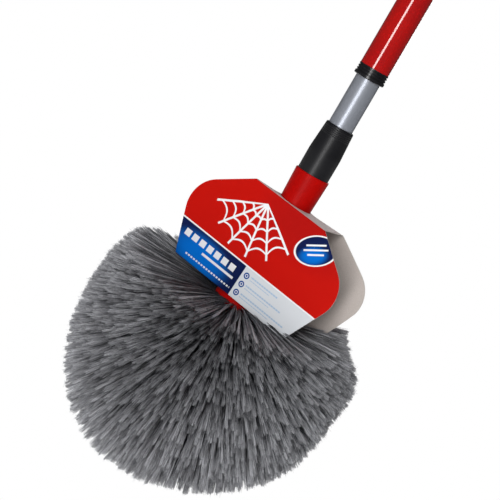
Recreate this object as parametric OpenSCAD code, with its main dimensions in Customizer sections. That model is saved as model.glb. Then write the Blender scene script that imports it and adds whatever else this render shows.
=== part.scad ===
// Telescopic cobweb brush with a ball of bristles. Sizes are in millimetres.
// The pole runs along Z with the brush at its lower end, and the hanging hole is at the origin.
// A "drop" is a distance below the rim of the brush socket.

/* [Outer tube] */
// Outside diameter of the outer tube
outer_tube_d = 25; // [22:0.5:30]
// Wall of the outer tube
outer_tube_wall = 0.5; // [0.4:0.1:1]
// Length of the outer tube
outer_tube_len = 690; // [400:10:1200]

/* [Inner tube] */
// Space between the two tubes, all round
tube_gap = 1.5; // [1:0.1:2.5]
// Wall of the inner tube
inner_tube_wall = 0.5; // [0.4:0.1:1]
// Length of inner tube that shows below the collar
inner_tube_shown = 43.4; // [15:0.2:60]
// Free height between the lock and the end cap when the pole is closed
lock_headroom = 42; // [10:1:80]

/* [End cap] */
// Diameter of the hanging hole
hang_hole_d = 8; // [5:0.5:10]
// Plastic left round the hanging hole
hang_hole_rim = 8; // [4:0.5:9]
// Thickness of the cap's tongue
tongue_t = 10; // [6:0.5:14]
// Distance from the hanging hole down to the tube's end
cap_drop = 18; // [16:0.5:30]
// Thickness of the cap's flange
cap_flange_h = 2.5; // [1.5:0.1:4]
// How far the cap's flange stands out past the tube
cap_overhang = 0.9; // [0.4:0.1:2]
// Length of the cap's plug inside the tube
cap_plug_len = 22; // [12:1:40]
// Wall of the cap's plug
cap_plug_wall = 2; // [1.2:0.1:4]

/* [Collar] */
// Height of the collar below the tube
collar_h = 9.6; // [7:0.1:16]
// Number of ridges above the collar's lower ring
collar_ridges = 3; // [2:1:5]
// Height of the collar's lower ring
collar_ring_h = 3; // [2:0.1:5]
// How far the lower ring stands out past the tube
collar_overhang = 0.6; // [0.3:0.1:1.5]
// Depth of the grooves between the ridges
collar_groove = 0.7; // [0.3:0.1:1]
// Length of the collar's spigot inside the tube
collar_spigot_len = 25; // [10:1:40]

/* [Pole tip] */
// Height of the tip between the inner tube and the brush socket
tip_shown = 43.2; // [30:0.1:60]
// Wall of the tip where the tube enters it
tip_wall = 1.5; // [1:0.1:3]
// Growth of the tip's radius from its top to its widest place
tip_flare = 1.65; // [0.5:0.05:3]
// Height of the widest place above the socket rim
tip_wide_h = 18; // [8:1:24]
// Depth of the tube's seat in the tip
tip_seat_len = 34; // [20:1:36]
// Wall of the spigot that fills the end of the inner tube
tip_spigot_wall = 2; // [1:0.1:3]
// Diameter of the threaded stub
stub_d = 19.6; // [16:0.2:21]
// Length of the threaded stub
stub_len = 28; // [18:1:36]

/* [Brush block] */
// Wall of the socket rim round the tip
rim_wall = 1.3; // [1:0.1:2.5]
// Depth that the tip's end sits in the socket rim
rim_recess = 1.5; // [0.8:0.1:3]
// Radius that rounds the outer edge of the rim
rim_round = 0.8; // [0.3:0.1:1]
// Loss of radius from the rim down to the card
neck_taper = 1; // [0:0.1:1.6]
// Drop of the waist, the thinnest place of the block
waist_drop = 63.7; // [50:0.1:80]
// Loss of radius from the card down to the waist
waist_taper = 0.5; // [0:0.1:2]
// Drop of the knob's centre
knob_drop = 127.7; // [120:0.1:160]
// Radius of the knob under the bristles
knob_r = 23; // [20:0.5:25]
// Radius of the block where it runs into the knob
knob_join_r = 16; // [15.5:0.1:17]

/* [Bristles] */
// Radius of the ball that the bristle tips lie on
ball_r = 118.5; // [90:0.5:140]
// Distance of the ball's centre below the knob's centre
ball_offset = 38.3; // [0:0.1:45]
// Angle between one ring of tufts and the next
ring_angle = 14.9; // [14:0.1:15.5]
// Angle that the tips of the top ring sink below their roots' direction
brim_sag = 6; // [0:0.5:7]
// Diameter of a tuft's hole
tuft_hole_d = 3.8; // [3.4:0.1:4]
// Depth of a tuft's hole below the knob's skin
tuft_hole_depth = 5.2; // [4.6:0.1:5.4]
// Thickness of the knob's skin that each ring of tufts is fused to
skin_t = 1.6; // [1:0.1:2.2]
// Radius of a strand at its root
strand_root_r = 0.7; // [0.4:0.05:0.8]
// Distance of a strand from its tuft's axis at the root
strand_offset = 1.35; // [1.2:0.05:1.4]
// Radius of a strand at its tip
strand_tip_r = 4.2; // [2:0.1:5]
// Distance of a strand from its tuft's axis at the tip
tuft_spread = 11.6; // [8:0.2:13]
// Largest difference in length between strands
length_jitter = 7; // [0:0.5:12]

/* [Card sleeve] */
// Drop of the card's top strip
card_drop = 27.3; // [20:0.1:34]
// Height of the card's panels
card_h = 87.5; // [70:0.5:88]
// Thickness of the card
card_t = 0.6; // [0.4:0.1:1]
// Distance between the panels at the top
card_gap_top = 34; // [33:0.5:40]
// Splay of the front panel
card_splay_front = 2.5; // [2:0.5:4]
// Splay of the back panel
card_splay_back = 9; // [2:0.5:12]
// Width of the card at the top fold
card_top_w = 75; // [60:1:90]
// Width of the card at its shoulders
card_wide_w = 158; // [130:1:170]
// Width of the card at its lower edge
card_bottom_w = 122; // [100:1:124]
// Height of the shoulders' widest place above the lower edge
card_wide_h = 45.5; // [36:0.5:54]
// Radius of the shoulders
card_shoulder_r = 26; // [6:1:30]
// Tilt of the card on the neck, right side down
card_tilt = 3.4; // [0:0.1:3.5]
// Distance of the card's middle to the right of the neck
card_shift = 4.8; // [0:0.1:8]

/* [Twist lock] */
// Diameter of the stud
stud_d = 6; // [5:0.5:7]
// Length of the lock plug inside the inner tube
plug_len = 25; // [15:1:40]
// Height of the lock plug's flange
plug_flange_h = 4; // [2:0.5:6]
// Length of the expander sleeve
sleeve_len = 32; // [26:1:45]
// Height of the expander sleeve's solid foot
sleeve_foot_h = 8; // [5:0.5:10]
// Wall of the expander sleeve at its thin upper end
sleeve_lip = 1.6; // [1:0.1:2.2]
// Width of the slots in the expander sleeve
slot_w = 2.4; // [1.5:0.1:3.5]
// Length of the cone nut
cone_len = 18; // [12:0.5:20]
// Loss of the cone nut's radius from top to bottom
cone_taper = 2.2; // [1:0.1:3]
// Travel of the cone nut when the pole is unlocked
cone_travel = 2.25; // [1:0.25:3]
// Thickness of the stop washer
washer_t = 1.2; // [0.8:0.1:2]
// Width of the stop nut across its flats
nut_w = 10; // [8:0.5:12]
// Height of the stop nut
nut_h = 4.5; // [3:0.5:6]

/* [Clearances] */
// Clearance all round where one piece slides in another
slide_gap = 0.1; // [0.05:0.01:0.1]
// Clearance all round where one piece is pushed into another
press_gap = 0.03; // [0.01:0.01:0.1]
// Clearance between pieces that only lie beside each other
loose_gap = 0.3; // [0.2:0.05:0.5]
// Space between the knob's core and the skin on it
skin_gap = 0.35; // [0.3:0.05:0.5]

/* [Hidden] */
$fn = 64;

// Radii of the two tubes
outer_r = outer_tube_d / 2;
bore_r = outer_r - outer_tube_wall;
inner_r = bore_r - tube_gap;
inner_bore_r = inner_r - inner_tube_wall;

// Heights down the pole
tube_top_z = -cap_drop;
tube_end_z = tube_top_z - outer_tube_len;
collar_end_z = tube_end_z - collar_h;
tip_top_z = collar_end_z - inner_tube_shown;
rim_z = tip_top_z - tip_shown;

// Pole tip
tip_top_r = inner_r + tip_wall;
tip_wide_r = tip_top_r + tip_flare;
tip_end_r = tip_wide_r - 0.15;
tip_end_z = rim_z - rim_recess + loose_gap;
tip_seat_z = tip_top_z - tip_seat_len;

// Twist lock, from its free end down to the inner tube
cap_plug_z = tube_top_z - cap_plug_len;
stud_top_z = cap_plug_z - lock_headroom;
nut_z = stud_top_z - 1.5 - nut_h;
washer_z = nut_z - washer_t;
cone_top_z = washer_z - cone_travel - 1;
sleeve_top_z = cone_top_z;
sleeve_z = sleeve_top_z - sleeve_len;
flange_top_z = sleeve_z - loose_gap;
inner_top_z = flange_top_z - plug_flange_h;
stud_z = inner_top_z - plug_len + 5;
stud_r = stud_d / 2;
sleeve_r = bore_r - slide_gap;
cone_top_r = sleeve_r - sleeve_lip - slide_gap;
cone_end_r = cone_top_r - cone_taper;
cone_slope = cone_taper / cone_len;

// Brush block
rim_r = tip_end_r + press_gap + rim_wall;
neck_r = rim_r - neck_taper;
waist_r = neck_r - waist_taper;
socket_r = stub_d / 2 + loose_gap;
socket_floor_drop = rim_recess + stub_len + 5;
knob_z = rim_z - knob_drop;
core_r = knob_r - skin_t - skin_gap;
hole_floor_r = knob_r - tuft_hole_depth;
staple_h = 1.6;

// Rings of tufts, from the bottom of the knob up: how many tufts each has, and where their skin starts and ends
ring_tufts = [3, 7, 12, 16, 18, 20, 20];
skin_start = 4;
skin_seam = 0.25;
skin_end = len(ring_tufts) * ring_angle;
arc_step = 5;

// Direction at an angle up from straight down, and round the pole
function spot(polar, round) = [sin(polar) * cos(round), sin(polar) * sin(round), -cos(polar)];
function up_polar(polar, round) = [cos(polar) * cos(round), cos(polar) * sin(round), sin(polar)];
function along_round(round) = [-sin(round), cos(round), 0];
function ring_polar(ring) = (ring + 0.5) * ring_angle;
function tuft_round(ring, tuft) = 360 * (tuft + ring * 0.37) / ring_tufts[ring];

// Points of an arc in the profile plane, about the knob's centre
function knob_arc(r, from, to, z = 0) =
    let (steps = ceil((to - from) / arc_step))
    [for (i = [0:steps]) let (a = from + (to - from) * i / steps) [r * sin(a), z - r * cos(a)]];

// Distance from the knob's centre to the bristle ball, along a direction
function reach(way) =
    let (along = -ball_offset * way[2])
    along + sqrt(along * along - ball_offset * ball_offset + ball_r * ball_r);

module outer_tube() {
    color("firebrick")
    translate([0, 0, tube_end_z])
    difference() {
        cylinder(r = outer_r, h = outer_tube_len);
        translate([0, 0, -1]) cylinder(r = bore_r, h = outer_tube_len + 2);
    }
}

// Ridged collar with a spigot in the mouth of the outer tube
module collar() {
    ridge_pitch = (collar_h - collar_ring_h) / collar_ridges;
    crest_r = outer_r + collar_overhang / 2;
    groove_r = crest_r - collar_groove;
    ring_r = outer_r + collar_overhang;
    ring_top_z = collar_end_z + collar_ring_h;
    spigot_r = bore_r - press_gap;
    hole_r = inner_r + slide_gap;
    ridges = [for (i = [0:collar_ridges - 1]) let (z = ring_top_z + i * ridge_pitch) each [
        [groove_r, z], [groove_r, z + ridge_pitch * 0.25],
        [crest_r, z + ridge_pitch * 0.4], [crest_r, z + ridge_pitch * 0.85], [crest_r - 0.2, z + ridge_pitch]
    ]];
    color([0.1, 0.1, 0.11])
    rotate_extrude()
    polygon(concat(
        [[hole_r, collar_end_z], [ring_r - 0.5, collar_end_z], [ring_r, collar_end_z + 0.5], [ring_r, ring_top_z - 0.4],
         [ring_r - 0.4, ring_top_z]],
        ridges,
        [[spigot_r, tube_end_z], [spigot_r, tube_end_z + collar_spigot_len - 1],
         [spigot_r - 0.5, tube_end_z + collar_spigot_len], [hole_r, tube_end_z + collar_spigot_len]]
    ));
}

// Cap with a flat tongue round the hanging hole
module end_cap() {
    tongue_r = hang_hole_d / 2 + hang_hole_rim;
    flange_r = outer_r + cap_overhang;
    body_z = tube_top_z + cap_flange_h;
    plug_r = bore_r - press_gap;
    scoop_r = 6;
    scoop_z = body_z + 2 + scoop_r;
    color([0.1, 0.1, 0.11])
    difference() {
        union() {
            translate([0, 0, tube_top_z]) cylinder(r = flange_r, h = cap_flange_h - 0.6);
            translate([0, 0, body_z - 0.6]) cylinder(r1 = flange_r, r2 = flange_r - 0.6, h = 0.6);
            translate([0, 0, body_z]) cylinder(r = tongue_r, h = -body_z);
            sphere(r = tongue_r);
            translate([0, 0, cap_plug_z]) cylinder(r = plug_r, h = cap_plug_len);
        }
        for (side = [-1, 1]) {
            translate([0, side * (tongue_t / 2 + scoop_r), scoop_z]) rotate([0, 90, 0])
                cylinder(r = scoop_r, h = 4 * tongue_r, center = true);
            translate([-2 * tongue_r, side > 0 ? tongue_t / 2 : -tongue_t / 2 - 2 * tongue_r, scoop_z])
                cube([4 * tongue_r, 2 * tongue_r, 2 * tongue_r]);
        }
        rotate([90, 0, 0]) cylinder(d = hang_hole_d, h = tongue_t + 2, center = true);
        translate([0, 0, cap_plug_z - 1]) cylinder(r = plug_r - cap_plug_wall, h = cap_plug_len + 1);
    }
}

module inner_tube() {
    color("silver")
    translate([0, 0, tip_seat_z])
    difference() {
        cylinder(r = inner_r, h = inner_top_z - tip_seat_z);
        translate([0, 0, -1]) cylinder(r = inner_bore_r, h = inner_top_z - tip_seat_z + 2);
    }
}

// Swollen tip: the tube seats in a groove round its spigot, and the stub below screws into the brush
module pole_tip() {
    groove_r = inner_r + press_gap;
    spigot_r = inner_bore_r - press_gap;
    wide_z = rim_z + tip_wide_h;
    belly = [for (f = [0:0.25:1]) [tip_end_r + (tip_wide_r - tip_end_r) * sin(90 * f),
        tip_end_z + (wide_z - tip_end_z) * f]];
    outline = concat(belly, [
        [tip_wide_r - 0.1, wide_z + 2.5], [tip_top_r + 0.1, tip_top_z - 1], [tip_top_r - 0.3, tip_top_z]
    ]);
    color([0.1, 0.1, 0.11])
    difference() {
        rotate_extrude()
        polygon(concat(
            [[0, tip_end_z - stub_len], [stub_d / 2 - 1, tip_end_z - stub_len],
             [stub_d / 2, tip_end_z - stub_len + 1], [stub_d / 2, tip_end_z]],
            outline,
            [[groove_r, tip_top_z], [groove_r, tip_seat_z], [spigot_r, tip_seat_z],
             [spigot_r, tip_top_z - 1], [spigot_r - 1, tip_top_z], [0, tip_top_z]]
        ));
        translate([0, 0, tip_end_z - stub_len - 1])
            cylinder(r = spigot_r - tip_spigot_wall - 1, h = stub_len - 3);
        translate([0, 0, tip_seat_z + 2]) cylinder(r = spigot_r - tip_spigot_wall, h = tip_seat_len);
    }
}

// Plug pressed in the top of the inner tube, with a flange on the tube's end
module lock_plug() {
    color("dimgray")
    difference() {
        union() {
            translate([0, 0, inner_top_z - plug_len]) cylinder(r = inner_bore_r - press_gap, h = plug_len);
            translate([0, 0, inner_top_z]) cylinder(r = inner_r, h = plug_flange_h);
        }
        translate([0, 0, stud_z]) cylinder(r = stud_r + press_gap, h = plug_len + plug_flange_h);
    }
}

module lock_stud() {
    chamfer = 0.8;
    color("gainsboro") {
        translate([0, 0, stud_z]) cylinder(r = stud_r, h = stud_top_z - chamfer - stud_z);
        translate([0, 0, stud_top_z - chamfer]) cylinder(r1 = stud_r, r2 = stud_r - chamfer, h = chamfer);
    }
}

// Slotted sleeve that the cone nut spreads against the outer tube
module expander_sleeve() {
    foot_top_z = sleeve_z + sleeve_foot_h;
    cone_end_z = cone_top_z - cone_len;
    taper_end_r = cone_end_r + slide_gap - cone_slope * (cone_end_z - foot_top_z);
    color("ghostwhite")
    difference() {
        translate([0, 0, sleeve_z]) cylinder(r = sleeve_r, h = sleeve_len);
        translate([0, 0, sleeve_z - 1]) cylinder(r = stud_r + slide_gap, h = sleeve_len);
        translate([0, 0, foot_top_z])
            cylinder(r1 = taper_end_r, r2 = cone_top_r + slide_gap, h = sleeve_top_z - foot_top_z);
        translate([0, 0, sleeve_top_z - 0.01]) cylinder(r = cone_top_r + slide_gap, h = 1);
        for (turn = [0, 90])
            rotate([0, 0, turn]) translate([-bore_r, -slot_w / 2, foot_top_z]) cube([2 * bore_r, slot_w, sleeve_len]);
    }
}

// Tapered nut with four ribs that run in the sleeve's slots
module cone_nut() {
    rib_w = slot_w - 2 * loose_gap;
    color("orange")
    difference() {
        union() {
            translate([0, 0, cone_top_z - cone_len]) cylinder(r1 = cone_end_r, r2 = cone_top_r, h = cone_len);
            for (turn = [0, 90])
                rotate([0, 0, turn])
                translate([-cone_top_r - 1, -rib_w / 2, cone_top_z - cone_len + loose_gap])
                    cube([2 * cone_top_r + 2, rib_w, cone_len - loose_gap]);
        }
        translate([0, 0, cone_top_z - cone_len - 1]) cylinder(r = stud_r + slide_gap, h = cone_len + 2);
    }
}

module stop_washer() {
    color("gainsboro")
    translate([0, 0, washer_z])
    difference() {
        cylinder(r = nut_w / 2 + 1.5, h = washer_t);
        translate([0, 0, -1]) cylinder(r = stud_r + slide_gap, h = washer_t + 2);
    }
}

module stop_nut() {
    color("gainsboro")
    translate([0, 0, nut_z])
    difference() {
        cylinder(d = nut_w / cos(30), h = nut_h, $fn = 6);
        translate([0, 0, -1]) cylinder(r = stud_r + press_gap, h = nut_h + 2);
    }
}

// Block: the socket rim, the tapered neck, the waist and the knob with its drilled tuft holes
module brush_block() {
    card_z = rim_z - card_drop;
    join_z = knob_z + sqrt(knob_r * knob_r - knob_join_r * knob_join_r);
    waist_z = rim_z - waist_drop;
    join_polar = 180 - asin(knob_join_r / knob_r);
    flare_steps = 8;
    flare = [for (i = [1:flare_steps - 1]) let (f = i / flare_steps)
        [knob_join_r + (waist_r - knob_join_r) * sin(90 * f), join_z + (waist_z - join_z) * f]];
    lip = [for (a = [0:22.5:90]) [rim_r - rim_round + rim_round * cos(a), rim_z - rim_round + rim_round * sin(a)]];
    recess_r = tip_end_r + press_gap;
    color("red")
    difference() {
        rotate_extrude()
        polygon(concat(
            knob_arc(core_r, 0, skin_end, knob_z),
            knob_arc(knob_r, skin_end, join_polar, knob_z),
            flare,
            [[waist_r, waist_z], [neck_r, card_z]],
            lip,
            [[recess_r, rim_z], [recess_r, rim_z - rim_recess], [socket_r, rim_z - rim_recess],
             [socket_r, rim_z - socket_floor_drop], [0, rim_z - socket_floor_drop]]
        ));
        tuft_places() translate([0, 0, hole_floor_r]) cylinder(d = tuft_hole_d, h = knob_r, $fn = 24);
    }
}

// Puts a copy of its children at each tuft, with Z out of the knob
module tuft_places() {
    for (ring = [0:len(ring_tufts) - 1], tuft = [0:ring_tufts[ring] - 1])
        translate([0, 0, knob_z])
        rotate([0, 0, tuft_round(ring, tuft)])
        rotate([0, 180 - ring_polar(ring), 0])
        children();
}

// Staples that hold the folded tufts at the bottom of their holes
module tuft_staples() {
    color("silver")
    tuft_places()
        translate([-(tuft_hole_d / 2 - 0.15), -0.25, hole_floor_r + 0.05]) cube([tuft_hole_d - 0.3, 0.5, staple_h]);
}

// Folded roots of the tufts, each bundle in its hole between the staple and the skin
module tuft_roots() {
    root_z = hole_floor_r + 0.1 + staple_h;
    color("dimgray")
    tuft_places()
        translate([0, 0, root_z]) cylinder(d = tuft_hole_d - 2 * slide_gap, h = core_r - 0.2 - root_z, $fn = 24);
}

// Corners of one strand: a bent three-sided spike that widens to its blunt tip and sinks by sag on the way.
// row and column say which quarter of its tuft it stands in, and the two luck values make it differ a little.
function strand_corners(ring, row, column, turn_luck, length_luck) =
    let (
        polar = ring_polar(ring),
        sag = brim_sag * pow(ring / (len(ring_tufts) - 1), 2),
        round = tuft_round(ring, floor(column / 2)),
        along = along_round(round),
        side_sign = column % 2 == 0 ? -1 : 1,
        up_sign = row == 0 ? -1 : 1,
        tip = reach(spot(polar - sag, round)) - length_jitter * length_luck,
        middle = knob_r + (tip - knob_r) * 0.45,
        middle_spread = strand_offset + (tuft_spread - strand_offset) * 0.36,
        turn = 14 * turn_luck
    )
    [for (stage = [
        [knob_r - 0.1, strand_offset, strand_root_r, 0, 0],
        [middle, middle_spread, strand_tip_r * 0.5, turn, sag * 0.6],
        [tip, tuft_spread, strand_tip_r, 2 * turn, sag]
    ], corner = [-90, 30, 150])
        let (
            way = spot(polar - stage[4], round),
            up = up_polar(polar - stage[4], round),
            lean = (side_sign * along + up_sign * up) / sqrt(2)
        )
        stage[0] * way + stage[1] * lean
        + stage[2] * (cos(corner + stage[3]) * along + sin(corner + stage[3]) * up)];

// One ring of tufts on its slice of the knob's skin, as one closed surface. The skin is a band of cells,
// two to a tuft along and two up, and a strand grows out of each cell.
module tuft_ring(ring) {
    columns = 2 * ring_tufts[ring];
    from = max(skin_start, ring * ring_angle + skin_seam);
    to = (ring + 1) * ring_angle - skin_seam;
    inner_r = knob_r - skin_t;
    luck = rands(0, 1, columns * 4, 100 + ring);
    function skin_round(j) = tuft_round(ring, 0) + 360 * (j - 1) / columns;
    function outer(i, j) = i * columns + j % columns;
    function inner(i, j) = (3 + i) * columns + j % columns;
    function root(i, j) = 5 * columns + (i * columns + j) * 9;
    points = concat(
        [for (polar = [from, ring_polar(ring), to], j = [0:columns - 1]) knob_r * spot(polar, skin_round(j))],
        [for (polar = [from, to], j = [0:columns - 1]) inner_r * spot(polar, skin_round(j))],
        [for (i = [0, 1], j = [0:columns - 1]) let (n = 2 * (i * columns + j))
            each strand_corners(ring, i, j, 2 * luck[n] - 1, luck[n + 1])]
    );
    cells = [for (i = [0, 1], j = [0:columns - 1])
        let (q = [outer(i, j), outer(i, j + 1), outer(i + 1, j + 1), outer(i + 1, j)], t = root(i, j))
        each [
            [q[0], q[1], t], [q[1], t + 1, t], [q[1], q[2], t + 1], [q[2], t + 2, t + 1],
            [q[2], q[3], t + 2], [q[3], q[0], t + 2], [q[0], t, t + 2]
        ]];
    strands = [for (i = [0, 1], j = [0:columns - 1]) let (t = root(i, j)) each [
        for (stage = [0, 3], s = [0:2])
            let (a = t + stage + s, b = t + stage + (s + 1) % 3) each [[a, b, b + 3], [a, b + 3, a + 3]],
        [t + 6, t + 7, t + 8]
    ]];
    back = [for (j = [0:columns - 1]) each [
        [outer(0, j + 1), outer(0, j), inner(0, j)], [outer(0, j + 1), inner(0, j), inner(0, j + 1)],
        [outer(2, j), outer(2, j + 1), inner(1, j + 1)], [outer(2, j), inner(1, j + 1), inner(1, j)],
        [inner(0, j + 1), inner(0, j), inner(1, j)], [inner(0, j + 1), inner(1, j), inner(1, j + 1)]
    ]];
    color([0.45, 0.46, 0.47])
    translate([0, 0, knob_z])
        polyhedron(points, [for (face = concat(cells, strands, back)) [face[2], face[1], face[0]]]);
}

// Outline of one card panel, with its widest place rounded, from the fold down
module card_outline() {
    edge_z = -card_h;
    wide_z = edge_z + card_wide_h;
    strip = 1;
    translate([card_shift, 0])
    hull() {
        translate([-card_top_w / 2, -strip]) square([card_top_w, strip]);
        translate([-card_bottom_w / 2, edge_z]) square([card_bottom_w, strip]);
        for (side = [-1, 1])
            translate([side * (card_wide_w / 2 - card_shoulder_r), wide_z]) circle(r = card_shoulder_r);
    }
}

// Folded card over the block, its neck hole in the top strip
module card_sleeve() {
    fold_round = 1.2;
    card_z = rim_z - card_drop;
    hole_r = neck_r + loose_gap;
    depth = 4 * card_gap_top;
    color("crimson")
    translate([0, 0, card_z])
    rotate([0, card_tilt, 0])
    difference() {
        intersection() {
            rotate([90, 0, 0]) linear_extrude(depth, center = true) card_outline();
            rotate([90, 0, 90])
            linear_extrude(2 * card_wide_w, center = true)
            difference() {
                fold_profile(card_gap_top / 2, fold_round, card_h + 1);
                fold_profile(card_gap_top / 2 - card_t, fold_round - card_t, card_h + 2, card_t);
            }
        }
        translate([0, 0, -5]) cylinder(r = hole_r, h = 10);
    }
}

// Section of the folded card: a tall trapezium with two rounded corners at the top, shifted down by drop
module fold_profile(half_w, round_r, height, drop = 0) {
    front_w = half_w + tan(card_splay_front) * height;
    back_w = half_w + tan(card_splay_back) * height;
    corner = [for (a = [0:22.5:90]) [half_w - round_r + round_r * cos(a), -drop - round_r + round_r * sin(a)]];
    polygon(concat(
        [[-front_w, -height], [back_w, -height]],
        corner,
        [for (i = [len(corner) - 1:-1:0]) [-corner[i][0], corner[i][1]]]
    ));
}

outer_tube();
collar();
end_cap();
expander_sleeve();
cone_nut();
inner_tube();
lock_plug();
lock_stud();
stop_washer();
stop_nut();
pole_tip();
brush_block();
tuft_staples();
tuft_roots();
tuft_ring(0);  // tuft_ring_0
tuft_ring(1);  // tuft_ring_1
tuft_ring(2);  // tuft_ring_2
tuft_ring(3);  // tuft_ring_3
tuft_ring(4);  // tuft_ring_4
tuft_ring(5);  // tuft_ring_5
tuft_ring(6);  // tuft_ring_6
card_sleeve();
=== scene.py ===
import math

import bpy
import numpy as np
from mathutils import Matrix, Vector

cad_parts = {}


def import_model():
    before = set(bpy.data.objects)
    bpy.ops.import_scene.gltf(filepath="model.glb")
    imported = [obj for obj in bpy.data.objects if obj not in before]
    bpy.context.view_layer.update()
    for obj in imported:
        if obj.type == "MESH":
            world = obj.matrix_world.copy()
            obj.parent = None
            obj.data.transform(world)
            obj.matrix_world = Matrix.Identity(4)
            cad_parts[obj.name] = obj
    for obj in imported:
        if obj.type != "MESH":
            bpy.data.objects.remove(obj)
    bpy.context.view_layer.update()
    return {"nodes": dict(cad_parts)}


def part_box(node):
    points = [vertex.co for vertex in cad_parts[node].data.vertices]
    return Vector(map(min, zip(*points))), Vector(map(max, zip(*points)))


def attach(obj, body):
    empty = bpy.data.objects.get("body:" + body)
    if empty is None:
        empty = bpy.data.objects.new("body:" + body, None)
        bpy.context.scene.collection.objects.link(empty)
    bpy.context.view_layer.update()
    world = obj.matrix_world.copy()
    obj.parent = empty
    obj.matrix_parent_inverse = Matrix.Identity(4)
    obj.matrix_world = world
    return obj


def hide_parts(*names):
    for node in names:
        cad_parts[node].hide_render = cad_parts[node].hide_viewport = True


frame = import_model()
nodes = frame["nodes"]
mm = 0.001
print("frame: %d nodes loaded" % len(nodes))

# heights on the pole's axis in mm, read back from the frame
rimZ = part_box("brush_block")[1].z / mm
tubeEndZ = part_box("outer_tube")[0].z / mm
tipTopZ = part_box("pole_tip")[1].z / mm
knobZ = rimZ - 127.7                                    # middle of the round knob


class Field:                                            # a socket that takes Python's signs
    def __init__(self, finish, socket):
        self.finish, self.socket = finish, socket

    def math(self, operation, *others):
        return self.finish.node("ShaderNodeMath", {"operation": operation}, dict(enumerate((self,) + others)))

    def flipped(self, operation, other):
        return self.finish.node("ShaderNodeMath", {"operation": operation}, {0: other, 1: self})

    def __add__(self, other): return self.math("ADD", other)
    def __radd__(self, other): return self.flipped("ADD", other)
    def __sub__(self, other): return self.math("SUBTRACT", other)
    def __rsub__(self, other): return self.flipped("SUBTRACT", other)
    def __mul__(self, other): return self.math("MULTIPLY", other)
    def __rmul__(self, other): return self.flipped("MULTIPLY", other)
    def __truediv__(self, other): return self.math("DIVIDE", other)
    def __rtruediv__(self, other): return self.flipped("DIVIDE", other)
    def __pow__(self, other): return self.math("POWER", other)
    def __mod__(self, other): return self.math("FLOORED_MODULO", other)
    def __gt__(self, other): return self.math("GREATER_THAN", other)
    def __lt__(self, other): return self.math("LESS_THAN", other)
    def __abs__(self): return self.math("ABSOLUTE")

    def most(self, other): return self.math("MAXIMUM", other)
    def least(self, other): return self.math("MINIMUM", other)

    def output(self, name):                             # another output of the same node
        return Field(self.finish, self.socket.node.outputs[name])

    def step(self, low, high):                          # 0 below low, 1 above high, smooth between
        return self.finish.node("ShaderNodeMapRange", {"interpolation_type": "SMOOTHSTEP"},
                                {"Value": self, "From Min": low, "From Max": high})

    def band(self, low, high, soft):                    # 1 between low and high
        return self.step(low - soft, low + soft) * (1 - self.step(high - soft, high + soft))


class Finish:                                           # the nodes of one material, or of the world
    def __init__(self, name, home=None):
        self.home = home or bpy.data.materials.new(name)
        self.home.use_nodes = True
        self.tree = self.home.node_tree
        self.tree.nodes.clear()

    def node(self, kind, settings=None, inputs=None, out=0):
        made = self.tree.nodes.new(kind)
        for key, value in (settings or {}).items():
            if key == "stops":                          # of a colour ramp
                ramp = made.color_ramp
                while len(ramp.elements) < len(value):
                    ramp.elements.new(0.5)
                for element, (at, colour) in zip(ramp.elements, value):
                    element.position, element.color = at, (*colour, 1)
            else:
                setattr(made, key, value)
        for key, value in (inputs or {}).items():
            if isinstance(value, Field):
                self.tree.links.new(value.socket, made.inputs[key])
            else:
                made.inputs[key].default_value = (*value, 1) if made.inputs[key].type == "RGBA" else value
        return Field(self, made.outputs[out]) if len(made.outputs) else made

    def place(self):                                    # the object's own coordinates, in mm
        return self.stretch(self.node("ShaderNodeTexCoord", out="Object"), (1 / mm, 1 / mm, 1 / mm))

    def parts(self, vector):                            # x, y, z
        x = self.node("ShaderNodeSeparateXYZ", {}, {0: vector})
        return x, x.output("Y"), x.output("Z")

    def stretch(self, vector, by):
        return self.node("ShaderNodeVectorMath", {"operation": "MULTIPLY"}, {0: vector, 1: by})

    def noise(self, vector, scale, detail=3):
        return self.node("ShaderNodeTexNoise", {},
                         {"Vector": vector, "Scale": scale, "Detail": detail, "Roughness": 0.55})

    def mix(self, factor, a, b):                        # of colours
        return self.node("ShaderNodeMix", {"data_type": "RGBA"}, {0: factor, 6: a, 7: b}, out=2)

    def ramp(self, factor, *stops):
        return self.node("ShaderNodeValToRGB", {"stops": stops}, {0: factor})

    def bump(self, height, strength, distance, normal=None):
        more = {} if normal is None else {"Normal": normal}
        return self.node("ShaderNodeBump", {}, {"Height": height, "Strength": strength, "Distance": distance, **more})

    def surface(self, shader, kind="Material"):
        self.node("ShaderNodeOutput" + kind, {}, {"Surface": shader})
        return self.home

    def done(self, colour, roughness, specular, normal, **more):
        return self.surface(self.node("ShaderNodeBsdfPrincipled", {}, {
            "Base Color": colour, "Roughness": roughness, "Specular IOR Level": specular, "Normal": normal,
            **{key.replace("_", " "): value for key, value in more.items()}}))


def wear(names, material):                              # puts a finish on CAD nodes
    for name in names:
        nodes[name].data.materials.clear()
        nodes[name].data.materials.append(material)


# painted tubes and plated steel
enamel = {"red": (0.385, 0.004, 0.003), "deepRed": (0.33, 0.003, 0.004), "scuff": (0.50, 0.05, 0.04),
          "scuffHeight": 22.0, "gloss": 0.10, "coat": 0.5}
lacquer = {"dark": (0.262, 0.278, 0.316), "light": (0.305, 0.322, 0.362), "rub": (0.40, 0.41, 0.44), "gloss": 0.34}
plating = {"dark": (0.42, 0.43, 0.42), "light": (0.60, 0.61, 0.60), "gloss": 0.26}


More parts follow.
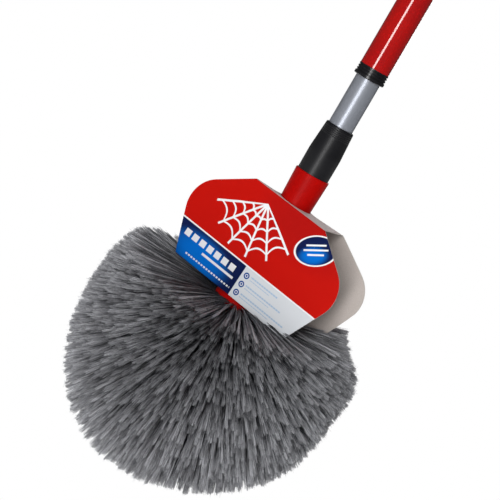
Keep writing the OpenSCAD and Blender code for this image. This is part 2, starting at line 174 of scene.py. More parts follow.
def redEnamel(s):                                       # glossy paint of the outer tube
    f = Finish("redEnamel")
    at = f.place()
    z = f.parts(at)[2]
    cloud = f.noise(at, 0.02, 3)
    drawn = f.noise(f.stretch(at, (1, 1, 0.05)), 1.6, 4)
    colour = f.mix(cloud.step(0.35, 0.7), s["red"], s["deepRed"])
    scuff = drawn.step(0.68, 0.74) * (1 - (z - tubeEndZ).step(2, s["scuffHeight"])) * 0.35     # rubbed at the collar
    peel = f.noise(at, 0.35, 2)
    return f.done(f.mix(scuff, colour, s["scuff"]), s["gloss"] + drawn * 0.03 + scuff * 0.2, 0.5,
                  f.bump(peel, 0.03, 0.01 * mm), Coat_Weight=s["coat"], Coat_Roughness=0.04)


def silverLacquer(s):                                   # satin metallic paint of the inner tube
    f = Finish("silverLacquer")
    at = f.place()
    grain = f.noise(f.stretch(at, (1, 1, 0.3)), 5.0, 4)
    drawn = f.noise(f.stretch(at, (1, 1, 0.01)), 2.0, 4)
    colour = f.mix(grain.step(0.3, 0.75), s["dark"], s["light"])
    colour = f.mix(drawn.step(0.62, 0.8) * 0.2, colour, s["rub"])
    return f.done(colour, s["gloss"] + grain * 0.06, 0.4, f.bump(grain, 0.03, 0.01 * mm), Metallic=0.5)


def zinc(name, s, pitch=0.0):                           # plated steel, threaded where a pitch is given
    f = Finish(name)
    at = f.place()
    x, y, z = f.parts(at)
    spangle = f.node("ShaderNodeTexVoronoi", {"feature": "F1"}, {"Vector": at, "Scale": 0.6}, out="Color")
    tone = f.noise(at, 0.8, 4)
    colour = f.mix(tone.step(0.3, 0.8), s["dark"], s["light"])
    normal = f.bump(tone, 0.15, 0.03 * mm)
    if pitch:
        ridge = abs((z / pitch + y.math("ARCTAN2", x) / (2 * math.pi)) % 1.0 - 0.5) * 2
        normal = f.bump(ridge, 0.9, 0.35 * mm, normal)
    return f.done(f.mix(0.12, colour, spangle), s["gloss"] + tone * 0.2, 0.5, normal, Metallic=1.0)


def plastic(name, s):                                   # moulded, with threads and turned lines where asked
    f = Finish(name)
    at = f.place()
    x, y, z = f.parts(at)
    cloud, leather = f.noise(at, 0.045, 3), f.noise(at, 3.2, 3)
    flow = f.noise(f.stretch(at, (1, 1, 0.25)), 0.35, 2)
    colour = f.mix(cloud.step(0.3, 0.72), s["base"], s["shade"])
    colour = f.mix(flow.step(0.62, 0.8) * 0.25, colour, tuple(min(1, c * 1.3 + 0.002) for c in s["base"]))
    normal = f.bump(leather, 0.08, 0.03 * mm)
    radius = (x * x + y * y) ** 0.5
    turn = y.math("ARCTAN2", x) / (2 * math.pi)
    for low, high, pitch, depth, within in s.get("threads", ()):       # within a radius
        ridge = abs((z / pitch + turn) % 1.0 - 0.5) * 2
        mask = z.band(low, high, 1.0) * (1 - radius.step(within - 0.15, within + 0.15))
        normal = f.bump(ridge * mask, 1.0, depth * mm, normal)
    for low, high, pitch, depth, beyond in s.get("lines", ()):         # beyond a radius
        ridge = abs((z / pitch) % 1.0 - 0.5) * 2
        mask = z.band(low, high, 0.6) * radius.step(beyond - 0.15, beyond + 0.15)
        normal = f.bump(ridge.step(0.55, 0.95) * mask, 1.0, depth * mm, normal)
    seam = 1 - abs(y).step(0.05, 0.22)                  # where the mould's halves met
    normal = f.bump(seam, 0.35, 0.05 * mm, normal)
    return f.done(colour, s["gloss"] + leather * 0.08, s["shine"], normal)


black = {"base": (0.0050, 0.0050, 0.0065), "shade": (0.0080, 0.0080, 0.0095)}
plastics = {
    "collar": {**black, "gloss": 0.20, "shine": 0.4},
    "cap": {**black, "gloss": 0.32, "shine": 0.4},
    "tip": {**black, "gloss": 0.34, "shine": 0.25, "threads": [(rimZ - 32, rimZ - 3, 3.2, 0.9, 10.0)],
            "lines": [(tipTopZ - 9, tipTopZ - 1.5, 1.5, 0.16, 10.0)]},
    "block": {"base": (0.40, 0.002, 0.001), "shade": (0.34, 0.0015, 0.001), "gloss": 0.38, "shine": 0.05,
              "threads": [(rimZ - 34, rimZ - 3, 3.2, 0.9, 10.4)]},
    "lock": {"base": (0.16, 0.165, 0.17), "shade": (0.20, 0.205, 0.21), "gloss": 0.42, "shine": 0.35},
    "cone": {"base": (0.62, 0.61, 0.57), "shade": (0.55, 0.54, 0.50), "gloss": 0.40, "shine": 0.35},
}

wear(["outer_tube"], redEnamel(enamel))
wear(["inner_tube"], silverLacquer(lacquer))
wear(["collar"], plastic("blackCollar", plastics["collar"]))
wear(["end_cap"], plastic("blackCap", plastics["cap"]))
wear(["pole_tip"], plastic("blackTip", plastics["tip"]))
wear(["brush_block"], plastic("redBlock", plastics["block"]))
wear(["lock_plug", "cone_nut"], plastic("greyLock", plastics["lock"]))
wear(["expander_sleeve"], plastic("whiteSleeve", plastics["cone"]))
wear(["lock_stud"], zinc("zincStud", plating, pitch=1.0))
wear(["stop_washer", "stop_nut", "tuft_staples"], zinc("zincPlate", plating))
print("finishes: tubes, plastics and zinc parts")


# bristles: each tuft is many locks of straight filaments with split ends
bristle = {
    "ringTufts": [3, 7, 12, 16, 18, 20, 20], "ringAngle": 14.9, "ringShift": 0.37,
    "knobR": 23, "holeDeep": 2.6, "rootR": 1.2,
    "locks": (7, 6), "lockStrands": 7, "flags": 2,          # locks about and up a tuft's share, strands, split ends
    "ballR": 118.5, "ballDrop": 38.3,
    "lockJitter": 14.0, "clumpJitter": 8.0, "strandJitter": 0.9,
    "ruffledTurn": -62.7, "calm": 0.2,                      # the other sides keep this share of the jitter
    "lockSpread": 0.66, "cellReach": 1.16, "fan": 0.55, "wave": 0.3,
    "topHigh": 99.0, "topLow": 96.0, "highTurn": 170.0,     # polar angle of the ball's upper edge
    "cardPress": 4.5, "brimLift": 18.0, "brimSpread": 0.75,
    "bulge": (27.3, 30.0, 11.0),                            # turn, width and rise where the upper edge stands up
    "dents": [                                              # polar, turn, width and height on the ball's surface
        (72, 207.3, 22, -5.5), (20, 207.3, 17, 6.5), (26, 27.3, 16, -4.5),
        (66, 27.3, 16, -3.5), (89, 27.3, 12, 7.0), (107, 27.3, 12, -14.0),
    ],
    "radius": (0.15, 0.22, 0.28, 0.31, 0.30, 0.16), "flagRadius": (0.15, 0.19, 0.07), "flagSpread": 1.1,
    "shadeBase": 0.2, "paintedShadeDrop": 0.95, "ownShade": 0.55,  # short locks lie deeper and get painted shade, a darker grey
    "greys": ((0.0, (0.025, 0.025, 0.029)), (0.32, (0.105, 0.107, 0.116)),
              (0.62, (0.29, 0.293, 0.313)), (1.0, (0.70, 0.705, 0.74))),
    "paintedRootShade": (0.018, 0.018, 0.021), "tipGrey": (0.66, 0.665, 0.70), "gloss": 0.34,
}


def strandMesh(name, centres, radii, shade, rise):      # three-sided filaments as one mesh
    count, rings = centres.shape[:2]
    along = np.gradient(centres, axis=1)
    along /= np.linalg.norm(along, axis=2, keepdims=True) + 1e-12
    helper = np.where(np.abs(along[..., 2:]) < 0.8, [[[0, 0, 1.0]]], [[[1.0, 0, 0]]])
    side = np.cross(along, helper)
    side /= np.linalg.norm(side, axis=2, keepdims=True)
    other = np.cross(along, side)
    turns = [2 * math.pi * k / 3 for k in range(3)]
    corners = [centres + radii[:, :, None] * (math.cos(a) * side + math.sin(a) * other) for a in turns]
    points = np.stack(corners, 2).reshape(-1, 3) * mm
    strand, ring, k = np.meshgrid(np.arange(count), np.arange(rings - 1), np.arange(3), indexing="ij")
    at = lambda r, c: (strand * rings + r) * 3 + c % 3
    loops = np.stack([at(ring, k), at(ring, k + 1), at(ring + 1, k + 1), at(ring + 1, k)], -1).reshape(-1)
    mesh = bpy.data.meshes.new(name)
    mesh.vertices.add(len(points))
    mesh.vertices.foreach_set("co", points.astype(np.float32).ravel())
    mesh.loops.add(len(loops))
    mesh.loops.foreach_set("vertex_index", loops.astype(np.int32))
    mesh.polygons.add(len(loops) // 4)
    mesh.polygons.foreach_set("loop_start", np.arange(0, len(loops), 4, dtype=np.int32))
    # the map holds a strand's shade across and its height along, so all strands share one small pattern
    shift = np.stack([k, k + 1, k + 1, k], -1) * 0.004
    u = 0.02 + 0.95 * shade[strand][..., None] + shift
    v = np.stack([rise[strand, ring], rise[strand, ring], rise[strand, ring + 1], rise[strand, ring + 1]], -1)
    layer = mesh.uv_layers.new(name="OFBake")
    layer.uv.foreach_set("vector", np.stack([u, 0.01 + 0.98 * v], -1).astype(np.float32).ravel())
    mesh.update(calc_edges=True)
    made = bpy.data.objects.new(name, mesh)
    bpy.context.scene.collection.objects.link(made)
    return made


def spot(polar, turn):                                  # a direction from the knob's middle, angles in degrees
    p, t = np.radians(polar), np.radians(turn)
    return np.stack([np.sin(p) * np.cos(t), np.sin(p) * np.sin(t), -np.cos(p)], -1)


def reach(way, s):                                      # from the knob's middle to the ball's surface
    along = -s["ballDrop"] * way[..., 2]
    far = along + np.sqrt(s["ballR"] ** 2 - s["ballDrop"] ** 2 + along ** 2)
    for polar, turn, width, height in s["dents"]:
        away = np.degrees(np.arccos(np.clip(way @ spot(polar, turn), -1, 1)))
        far += height * np.exp(-(away / width) ** 2)
    return far


def lifted(polar, turn, s):                             # fits the rings to the ball's uneven upper edge
    full = len(s["ringTufts"]) * s["ringAngle"]
    mean, half = (s["topHigh"] + s["topLow"]) / 2, (s["topHigh"] - s["topLow"]) / 2
    top = mean + half * np.cos(np.radians(turn - s["highTurn"]))
    top = top - s["cardPress"] * np.sin(np.radians(turn)) ** 4         # the card's two panels press it down
    bulgeTurn, width, rise = s["bulge"]
    top += rise * np.exp(-(((turn - bulgeTurn + 180) % 360 - 180) / width) ** 2)
    return polar + (top - full) * np.clip(polar / full, 0, 1.2) ** 2


def bristleRing(ring, s, material):                     # rings count up from the ball's lower end
    luck = np.random.default_rng(40 + ring)
    tufts, lastRing = s["ringTufts"][ring], len(s["ringTufts"]) - 1
    aboutLocks, upLocks = s["locks"]
    locks = aboutLocks * upLocks
    lockId = np.repeat(np.arange(tufts * locks), s["lockStrands"])
    count = len(lockId)
    lockTuft = np.repeat(np.arange(tufts), locks)
    polar = (ring + 0.5) * s["ringAngle"]
    tuftTurn = 360 * (lockTuft + ring * s["ringShift"]) / tufts
    # each lock aims at its own cell in the tuft's share of the ball
    cell = np.tile(np.arange(locks), tufts)
    about = 2 * (cell % aboutLocks + luck.uniform(0.05, 0.95, len(cell))) / aboutLocks - 1
    upward = 2 * (cell // aboutLocks + luck.uniform(0.05, 0.95, len(cell))) / upLocks - 1
    lockPolar = lifted(np.abs(polar + upward * s["ringAngle"] / 2 * s["cellReach"]), tuftTurn, s)
    lockTurn = tuftTurn + about * 180 / tufts * s["cellReach"]
    lockWay = spot(lockPolar, lockTurn)
    clump = lockTuft * 16 + (cell % aboutLocks) // 2 * 4 + (cell // aboutLocks) // 2
    short = s["lockJitter"] * luck.beta(0.7, 2.2, len(cell))
    short += s["clumpJitter"] * luck.beta(0.8, 1.6, 16 * tufts)[clump]
    short *= s["calm"] + (1 - s["calm"]) * np.clip(lockWay @ spot(90, s["ruffledTurn"]), 0, 1)
    lockTip = lockWay * (reach(lockWay, s) - short)[:, None]
    # painted shade: a lock's grey is random but darker the shorter the lock, for the shade deep among the tufts; the
    # ruffled side has the shortest locks
    lockShade = luck.beta(1.6, 1.6, len(cell)) + s["shadeBase"] - s["paintedShadeDrop"] * short / s["lockJitter"]
    lockShade = np.clip(lockShade, 0, 1)
    # the last ring's upper locks start higher and cover the knob
    brim = (ring / lastRing) ** 6
    rootPolar = polar + brim * s["brimLift"] * np.clip(upward, 0, 1)[lockId]
    rootTurn = tuftTurn[lockId] + brim * s["brimSpread"] * (about * 180 / tufts)[lockId]
    way, root = lockWay[lockId], spot(rootPolar, rootTurn)
    # strands stay close in their lock and part again at the tip
    scatter = luck.normal(0, 1, (count, 3)) * s["lockSpread"] * luck.uniform(0.5, 1.2, len(cell))[lockId][:, None]
    scatter -= way * np.sum(scatter * way, 1, keepdims=True)
    tip = lockTip[lockId] + scatter - way * (s["strandJitter"] * luck.beta(1.1, 2.6, count))[:, None]
    across = luck.normal(0, 0.55, (count, 3)).clip(-1.1, 1.1) * s["rootR"]
    across -= root * np.sum(across * root, 1, keepdims=True)
    start = root * (s["knobR"] - s["holeDeep"]) + across
    length = np.linalg.norm(tip - start, axis=1, keepdims=True)
    leave = root * (1 - s["fan"]) + way * s["fan"]
    second = start + leave * length * 0.32
    third = start + (lockTip[lockId] - start) * 0.68 + scatter * 0.4
    shares = np.linspace(0, 1, len(s["radius"])) ** 0.9
    t = shares[None, :, None]
    centres = ((1 - t) ** 3 * start[:, None] + 3 * (1 - t) ** 2 * t * second[:, None]
               + 3 * (1 - t) * t ** 2 * third[:, None] + t ** 3 * tip[:, None])
    centres += luck.normal(0, s["wave"], centres.shape) * (4 * t * (1 - t) + 0.3 * t)
    shade = np.clip(lockShade[lockId] * (1 - s["ownShade"]) + luck.beta(0.6, 0.6, count) * s["ownShade"], 0, 1)
    middle = np.array([0, 0, knobZ])
    thick = np.array(s["radius"]) * luck.uniform(0.85, 1.15, count)[:, None]
    rises = np.tile(shares, (count, 1))
    main = strandMesh("bristleRing%d" % ring, centres + middle, thick, shade, rises)
    # split ends
    parent = np.repeat(np.arange(count), s["flags"])
    base, high, end = centres[parent, -3], centres[parent, -2], centres[parent, -1]
    end = end + luck.normal(0, s["flagSpread"], end.shape)
    end = end - way[parent] * luck.uniform(0, 1.6, len(parent))[:, None]
    inner = base + (end - base) * 0.5 + (high - base) * 0.15
    thin = np.array(s["flagRadius"]) * luck.uniform(0.8, 1.15, len(parent))[:, None]
    flagRise = np.tile([shares[-3], (shares[-3] + 1) / 2, 1.0], (len(parent), 1))
    flagShade = np.clip(shade[parent] + luck.normal(0.04, 0.10, len(parent)), 0, 1)
    ends = strandMesh("splitEnds%d" % ring, np.stack([base, inner, end], 1) + middle, thin, flagShade, flagRise)
    for made in (main, ends):
        made.data.materials.append(material)
        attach(made, "head")
        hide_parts("tuft_ring_%d" % ring)
    return len(main.data.polygons) + len(ends.data.polygons)


def bristleFinish(s):                                   # painted shade, dark at the root; each strand of its own grey
    f = Finish("greyBristle")
    u, v = f.parts(f.node("ShaderNodeUVMap", {"uv_map": "OFBake"}))[:2]
    # painted shade: the grey darkens along each strand towards its root, for the shade deep inside the ball
    colour = f.mix(1 - v.step(0.15, 0.96), f.ramp(u, *s["greys"]), s["paintedRootShade"])
    colour = f.mix(v.step(0.86, 1.0) * 0.35, colour, s["tipGrey"])
    ripple = f.noise(f.place(), 0.8, 2)
    return f.done(colour, s["gloss"] + u * 0.1, 0.5, f.bump(ripple, 0.2, 0.03 * mm))


greyBristle = bristleFinish(bristle)
faces = sum(bristleRing(ring, bristle, greyBristle) for ring in range(len(bristle["ringTufts"])))
wear(["tuft_roots"], greyBristle)
print("bristles: %d faces" % faces)


# card: one folded sheet, its back panel a little twisted against the front
card = {
    "foldZ": rimZ - 27.3, "tall": 87.5, "gapTop": 34.0, "splay": (2.5, 9.0), "thick": 0.6,
    "topHalf": 37.5, "shoulderX": 53.0, "shoulderR": 26.0, "wideDrop": 42.0, "bottomHalf": 61.0,
    "tilt": 3.4, "shift": 4.8, "bend": 1.2, "bow": 1.4, "holeR": 14.3,
    "twist": 5.7, "twistX": 39.8, "tuck": 8.0,
    "inside": ((0.46, 0.41, 0.38), (0.52, 0.47, 0.44)), "cut": ((0.45, 0.42, 0.38), (0.58, 0.56, 0.53)),
}


def halfWidth(drop, c):                                 # of the cut sheet, at a drop under the fold
    toX, toY = c["shoulderX"] - c["topHalf"], c["wideDrop"]
    lean = math.atan2(toX, toY) + math.asin(c["shoulderR"] / math.hypot(toX, toY))
    touch = c["wideDrop"] - c["shoulderR"] * math.sin(lean)
    footX, footY = c["bottomHalf"] - c["shoulderX"], c["tall"] - c["wideDrop"]
    under = math.asin(c["shoulderR"] / math.hypot(footX, footY)) - math.atan2(footX, footY)
    leave = c["wideDrop"] + c["shoulderR"] * math.sin(under)
    if drop < touch:
        return c["topHalf"] + drop * math.tan(lean)
    if drop < leave:
        return c["shoulderX"] + math.sqrt(c["shoulderR"] ** 2 - (drop - c["wideDrop"]) ** 2)
    return c["bottomHalf"] + (c["tall"] - drop) * math.tan(under)


def cardSheet(c):
    columns, rows, bendRows, ends = 48, 44, 5, 12
    twist = math.radians(c["twist"])
    verts, faces = [], []

    def panel(side):                                    # side -1 is the front
        grid = []
        slope = math.tan(math.radians(c["splay"][0 if side < 0 else 1]))
        for j in range(rows + bendRows + 1):
            a = math.pi / 2 * min(1, j / bendRows)      # round the fold first, then down the panel
            down = max(0, j - bendRows) / rows
            z = -c["bend"] * (1 - math.cos(a)) - (c["tall"] - c["bend"]) * down
            y = c["gapTop"] / 2 - c["bend"] * (1 - math.sin(a)) - z * slope
            half = halfWidth(-z, c)
            row = []
            for i in range(columns + 1):
                x = half * (2 * i / columns - 1)
                edge = (x / (c["shoulderX"] + c["shoulderR"])) ** 2
                bow = c["bow"] * (math.sin(math.pi * down) * (1 - edge) + down * edge)  # hollow, with sprung sides
                sheetX, sheetZ = x + c["shift"], z
                if side > 0:
                    fromX = sheetX - c["twistX"]
                    sheetX = c["twistX"] + fromX * math.cos(twist) - z * math.sin(twist) - c["tuck"] * down ** 2
                    sheetZ = fromX * math.sin(twist) + z * math.cos(twist)
                row.append(len(verts))
                verts.append((sheetX, side * (y + bow), sheetZ))
            grid.append(row)
        for j in range(len(grid) - 1):
            for i in range(columns):
                quad = [grid[j][i], grid[j][i + 1], grid[j + 1][i + 1], grid[j + 1][i]]
                faces.append(quad if side > 0 else quad[::-1])
        return [Vector(verts[i]) for i in grid[0]]

    front, back = panel(-1), panel(1)
    # the top strip, from the panels' first rows in to the neck hole
    edge = front + [front[-1].lerp(back[-1], k / ends) for k in range(1, ends)]
    edge += back[::-1] + [back[0].lerp(front[0], k / ends) for k in range(1, ends)]
    rings = []
    for share in (0.0, 0.25, 0.5, 0.75, 0.92, 1.0):
        rings.append(range(len(verts), len(verts) + len(edge)))
        for at in edge:
            verts.append(at.lerp(Vector((at.x, at.y, 0)).normalized() * c["holeR"], share))
    for outer, inner in zip(rings, rings[1:]):
        for i in range(len(edge)):
            j = (i + 1) % len(edge)
            faces.append([outer[i], outer[j], inner[j], inner[i]])
    mesh = bpy.data.meshes.new("cardSheet")
    mesh.from_pydata([Vector(v) * mm for v in verts], [], faces)
    mesh.transform(Matrix.Translation((0, 0, c["foldZ"] * mm)) @ Matrix.Rotation(math.radians(c["tilt"]), 4, "Y"))
    made = bpy.data.objects.new("cardSheet", mesh)
    bpy.context.scene.collection.objects.link(made)
    weld = made.modifiers.new("weld", "WELD")
    weld.merge_threshold = 0.02 * mm
    thick = made.modifiers.new("thickness", "SOLIDIFY")
    thick.thickness, thick.offset = c["thick"] * mm, -1
    thick.material_offset, thick.material_offset_rim = 1, 2
    return made


def sheetPlace(f, c):                                   # across and down the flat sheet in mm, from its fold's middle
    at = f.place()
    x, y, z = f.parts(at)
    z = z - c["foldZ"]
    lean, twist = math.radians(c["tilt"]), math.radians(c["twist"])
    across = x * math.cos(lean) - z * math.sin(lean)
    down = -1 * (x * math.sin(lean) + z * math.cos(lean))
    fromX = across - c["twistX"]
    behind = y > 0
    backAcross = (fromX * math.cos(twist) - down * math.sin(twist)) + (c["twistX"] - c["shift"])
    backDown = fromX * math.sin(twist) + down * math.cos(twist)
    u = (across - c["shift"]) * (1 - behind) - backAcross * behind      # the back reads the same way round
    return at, u, down * (1 - behind) + backDown * behind


pattern = {                                             # places are across and down the flat sheet
    "red": (0.475, 0.0050, 0.0020), "deepRed": (0.36, 0.0045, 0.0035), "white": (0.78, 0.78, 0.79),
    "night": (0.004, 0.010, 0.060), "sky": (0.0, 0.135, 0.56), "grey": (0.60, 0.62, 0.65),
    "ring": (0.01, 0.06, 0.25), "rule": (0.16, 0.36, 0.60), "strip": (0.50, 0.46, 0.45),
    "bandDrop": 60.0, "split": -0.5, "soft": 0.18,
    "deepSpot": (30, 4, 62, 36), "blueSpot": (-42, 78, 34, 17),        # middle and half sizes
    "web": {"u": -16.0, "d": 10.5, "spokes": 6, "spread": 122.0, "rings": (14.0, 23.0, 32.0, 41.0),
            "line": 1.7, "sag": 0.45},
    "badge": {"u": 41.5, "d": 17.0, "long": 18.5, "high": 12.2, "turn": 33.0,
              "bars": ((-4.4, 8.5), (-0.6, 10.5), (3.2, 7.0))},        # drop and half length
    "marks": {"u": 4.4, "drop": 6.3, "pitch": 7.8, "count": 3},
    "rows": (                                           # drop, half height, from, to, pitch and block
        (8.3, 2.8, -64, -6, 8.4, 6.0), (15.0, 1.0, -40, -5, 40.0, 40.0), (22.6, 0.7, -53, -3, 2.9, 1.9)),
}


def printFinish(c, p):                                  # ink on the outside of the sheet
    f = Finish("printedBoard")
    at, u, d = sheetPlace(f, c)

    def away(midU, midD, halfU, halfD):                 # squared distance from a soft spot, 1 at its rim
        return ((u - midU) / halfU) ** 2 + ((d - midD) / halfD) ** 2

    soft, white = p["soft"], p["white"]
    fibre = f.noise(at, 0.9, 4)
    colour = f.mix((1 - away(*p["deepSpot"]).step(0.0, 1.1)) * 0.8, p["red"], p["deepRed"])
    # lower band: blue on the left and pale on the right, under a thin white line
    blue = f.mix(1 - away(*p["blueSpot"]).step(0.0, 1.25), p["night"], p["sky"])
    pale = f.mix((d - p["bandDrop"]).step(0, 28), p["grey"], tuple(g * 1.1 for g in p["grey"]))
    inBand = d.step(p["bandDrop"] - soft, p["bandDrop"] + soft)
    colour = f.mix(inBand, colour, f.mix((u - p["split"]).step(-soft, soft), blue, pale))
    colour = f.mix(d.band(p["bandDrop"] - 0.9, p["bandDrop"] + 0.25, soft), colour, white)
    # a hanging web: spokes fan out from one point, with sagging threads between them
    w = p["web"]
    webU, webD = u - w["u"], d - w["d"]
    far = (webU * webU + webD * webD) ** 0.5
    turn = webU.math("ARCTAN2", webD) * (180 / math.pi) + w["spread"] / 2
    pitch = w["spread"] / (w["spokes"] - 1)
    phase = (turn / pitch) % 1.0
    inside = turn.band(0, w["spread"], 0.05)
    hang = 1 - phase * (1 - phase) * w["sag"]
    threads = 0
    for r in w["rings"]:
        threads = (far / hang).band(r - w["line"] / 2, r + w["line"] / 2, soft) + threads
    offSpoke = abs((turn / pitch + 0.5) % 1.0 - 0.5) * far * math.radians(pitch)
    spokes = 1 - offSpoke.step(w["line"] / 2 - 0.1, w["line"] / 2 + 0.2)
    spokes = spokes * (1 - far.step(w["rings"][-1] + 4.5, w["rings"][-1] + 5)) * turn.band(-2, w["spread"] + 2, 0.1)
    web = (threads * inside + spokes).least(1.0) * (1 - inBand)
    colour = f.mix(web, colour, white)
    # oval badge at the right, cut off by the sheet's edge
    b = p["badge"]
    lean = math.radians(b["turn"])
    badgeU = ((u - b["u"]) * math.cos(lean) - (d - b["d"]) * math.sin(lean))
    badgeD = ((u - b["u"]) * math.sin(lean) + (d - b["d"]) * math.cos(lean))
    oval = ((badgeU / b["long"]) ** 2 + (badgeD / b["high"]) ** 2) ** 0.5
    deep = f.mix(((badgeU / 10 + 0.2) ** 2 + ((badgeD - 4) / 6) ** 2).step(0.2, 2.2), p["sky"], p["night"])
    colour = f.mix(1 - oval.step(1.0, 1.03), colour, white)
    colour = f.mix(1 - oval.step(0.91, 0.94), colour, deep)
    for drop, half in b["bars"]:
        bar = badgeD.band(drop - 0.7, drop + 0.7, soft) * badgeU.band(-half, half, 0.3)
        colour = f.mix(bar, colour, white)
    # three round marks with plain rules beside them, on the pale part
    m = p["marks"]
    for k in range(m["count"]):
        markU, markD = u - m["u"], d - (p["bandDrop"] + m["drop"] + m["pitch"] * k)
        disc = (markU * markU + markD * markD) ** 0.5
        colour = f.mix(1 - disc.step(2.5, 2.8), colour, p["ring"])
        colour = f.mix(1 - abs(disc - 1.2).step(0.15, 0.4), colour, white)
        rule = markD.band(-1.9, -0.7, soft) * markU.band(4.2, 33 + 9 * k, 0.2)
        rule = rule + markD.band(0.9, 1.5, soft) * markU.band(4.2, 26 + 5 * k, 0.2)
        dashes = 0.45 + 0.55 * ((markU + 1.7 * k) % 2.6 < 1.9)
        colour = f.mix(rule * dashes * 0.6, colour, p["rule"])
    # blocks and rules on the blue part
    for drop, tall, fromU, toU, pitch, block in p["rows"]:
        row = (d - p["bandDrop"]).band(drop - tall, drop + tall, soft) * u.band(fromU, toU, 0.2)
        colour = f.mix(row * ((u - fromU) % pitch < block) * 0.9, colour, white)
    colour = f.mix((1 - d.step(0.15, 0.5)) * 0.9, colour, p["strip"])
    colour = f.mix(fibre.step(0.55, 0.8) * 0.06, colour, (0.1, 0.02, 0.02))
    return f.done(colour, 0.44 + fibre * 0.12, 0.06, f.bump(fibre, 0.10, 0.03 * mm))


def boardFinish(name, base, fleckColour):               # bare board: the inside and the cut edge
    f = Finish(name)
    at = f.place()
    fibre = f.noise(at, 1.4, 5)
    fleck = f.noise(f.stretch(at, (1, 1, 2.2)), 0.5, 3)
    colour = f.mix(fibre.step(0.35, 0.7), base, fleckColour)
    colour = f.mix(fleck.step(0.6, 0.75) * 0.3, colour, tuple(c * 0.8 for c in base))
    return f.done(colour, 0.8 + fibre * 0.1, 0.2, f.bump(fibre, 0.3, 0.05 * mm))


cardPiece = cardSheet(card)
for finish in (printFinish(card, pattern), boardFinish("greyBoard", *card["inside"]),
               boardFinish("cutEdge", *card["cut"])):
    cardPiece.data.materials.append(finish)
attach(cardPiece, "head")
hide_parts("card_sleeve")
print("card: folded sheet with its print")


# floor, light and camera
studio = {
    "aim": (0, 0, -0.85), "floorZ": -1.72, "floorSize": 12.0, "floorColour": (0.88, 0.88, 0.88),
    "ambient": 0.22, "mirrored": 0.07,
    "whiteCone": (9, 14),                               # degrees round the view, where mirrors see white
    "photoWidth": 500,
    "view": {"overKnob": 126, "turn": 27.3, "rise": 8.64, "roll": 30.24, "away": 1354.4, "right": 12.92, "up": 75.42,
             "pixels": 1704.8},                         # its focal length
    "lamps": {                                          # turn, rise, distance, size, power and whether it is mirrored
        "strip": (-74.7, 0, 2.0, (0.42, 2.4), 40.0, True),
        "fill": (-40, 14, 2.2, (1.6, 1.6), 8.0, False),
        "top": (-60, 62, 2.0, (1.4, 1.4), 5.0, True),
        "backLeft": (165, 35, 2.4, (1.8, 1.8), 9.0, False),
        "backRight": (65, 35, 2.4, (1.8, 1.8), 9.0, False),
        "backStrip": (110, 0, 2.4, (0.30, 2.4), 8.0, True),
    },
}


def camera(v, photoWidth):
    a, e, t = (math.radians(v[k]) for k in ("turn", "rise", "roll"))
    ahead = Vector((-math.sin(a) * math.cos(e), math.cos(a) * math.cos(e), -math.sin(e)))
    right = Vector((math.cos(a), math.sin(a), 0))
    up = right.cross(ahead)
    at = Vector((0, 0, knobZ + v["overKnob"])) - v["away"] * ahead - v["right"] * right - v["up"] * up
    data = bpy.data.cameras.new("camera")
    data.sensor_width = 36
    data.lens = v["pixels"] * data.sensor_width / photoWidth
    data.clip_start, data.clip_end = 0.05, 50
    made = bpy.data.objects.new("camera", data)
    axes = (math.cos(t) * right + math.sin(t) * up, math.cos(t) * up - math.sin(t) * right, -ahead)
    made.matrix_world = Matrix.Translation(at * mm) @ Matrix(axes).transposed().to_4x4()
    bpy.context.scene.collection.objects.link(made)
    bpy.context.scene.camera = made


def lamp(name, aim, turn, rise, away, size, power, mirrored):
    data = bpy.data.lights.new(name, "AREA")
    data.shape, data.size, data.size_y, data.energy = "RECTANGLE", size[0], size[1], power
    t, r = math.radians(turn), math.radians(rise)
    way = Vector((math.cos(t) * math.cos(r), math.sin(t) * math.cos(r), math.sin(r)))
    made = bpy.data.objects.new(name, data)
    made.visible_glossy = mirrored
    facing = way.to_track_quat("Z", "Y").to_matrix().to_4x4()
    made.matrix_world = Matrix.Translation(Vector(aim) + way * away) @ facing
    bpy.context.scene.collection.objects.link(made)


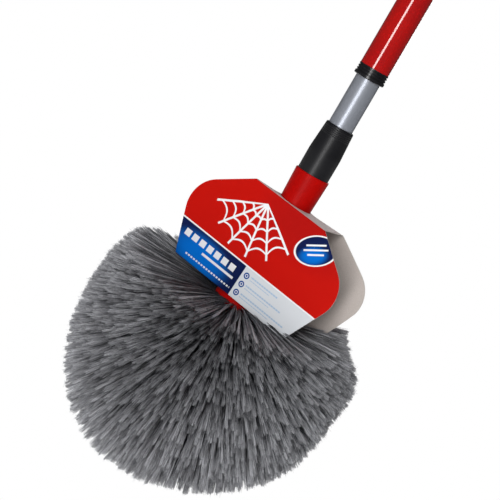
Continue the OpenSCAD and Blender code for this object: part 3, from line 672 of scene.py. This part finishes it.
def paleFloor(s):                                       # flat floor under the pole at its longest
    half = s["floorSize"] / 2
    mesh = bpy.data.meshes.new("floor")
    corners = ((-half, -half), (half, -half), (half, half), (-half, half))
    mesh.from_pydata([(x, y, s["floorZ"]) for x, y in corners], [], [(0, 1, 2, 3)])
    made = bpy.data.objects.new("floor", mesh)
    bpy.context.scene.collection.objects.link(made)
    f = Finish("paleFloor")
    at = f.place()
    x, y = f.parts(at)[:2]
    tone = f.mix(f.noise(at, 0.002, 2), s["floorColour"], tuple(c * 0.985 for c in s["floorColour"]))
    plain = f.node("ShaderNodeBsdfDiffuse", {}, {"Color": tone})
    lift = f.node("ShaderNodeEmission", {}, {"Color": (1, 1, 1), "Strength": 0.55})
    white = f.node("ShaderNodeEmission", {}, {"Color": (1, 1, 1), "Strength": 1.0})
    near = 1 - ((x * x + y * y) ** 0.5).step(300, 900)  # the shadow stays round the object's foot
    shadowed = f.node("ShaderNodeAddShader", {}, {0: plain, 1: lift})
    shown = f.node("ShaderNodeMixShader", {}, {0: near, 1: white, 2: shadowed})
    seen = f.node("ShaderNodeLightPath", out="Is Camera Ray")
    seen = seen.most(seen.output("Is Glossy Ray")).most(seen.output("Is Transmission Ray"))
    mesh.materials.append(f.surface(f.node("ShaderNodeMixShader", {}, {0: seen, 1: plain, 2: shown})))


def world(s):                                           # white behind the object, soft grey light all round
    home = bpy.data.worlds.new("studio")
    bpy.context.scene.world = home
    f = Finish("studio", home)
    a = math.radians(s["view"]["turn"])
    way = f.node("ShaderNodeTexCoord", out="Generated")
    ahead = f.node("ShaderNodeVectorMath", {"operation": "DOT_PRODUCT"},
                   {0: way, 1: (-math.sin(a), math.cos(a), 0)}, out="Value")
    inner, outer = (math.cos(math.radians(angle)) for angle in s["whiteCone"])
    seen = f.node("ShaderNodeLightPath", out="Is Camera Ray")
    mirrored = seen.output("Is Glossy Ray").most(seen.output("Is Transmission Ray"))
    soft, dim, white = (f.node("ShaderNodeBackground", {}, {"Color": (1, 1, 1), "Strength": strength})
                        for strength in (s["ambient"], s["mirrored"], 1.0))
    around = f.node("ShaderNodeMixShader", {}, {0: mirrored, 1: soft, 2: dim})
    clear = seen.most(mirrored * ahead.step(outer, inner))
    f.surface(f.node("ShaderNodeMixShader", {}, {0: clear, 1: around, 2: white}), "World")


bpy.context.scene.view_settings.view_transform = "Standard"
world(studio)
paleFloor(studio)
camera(studio["view"], studio["photoWidth"])
for name, setting in studio["lamps"].items():
    lamp(name, studio["aim"], *setting)
print("studio: lamps, floor and camera")
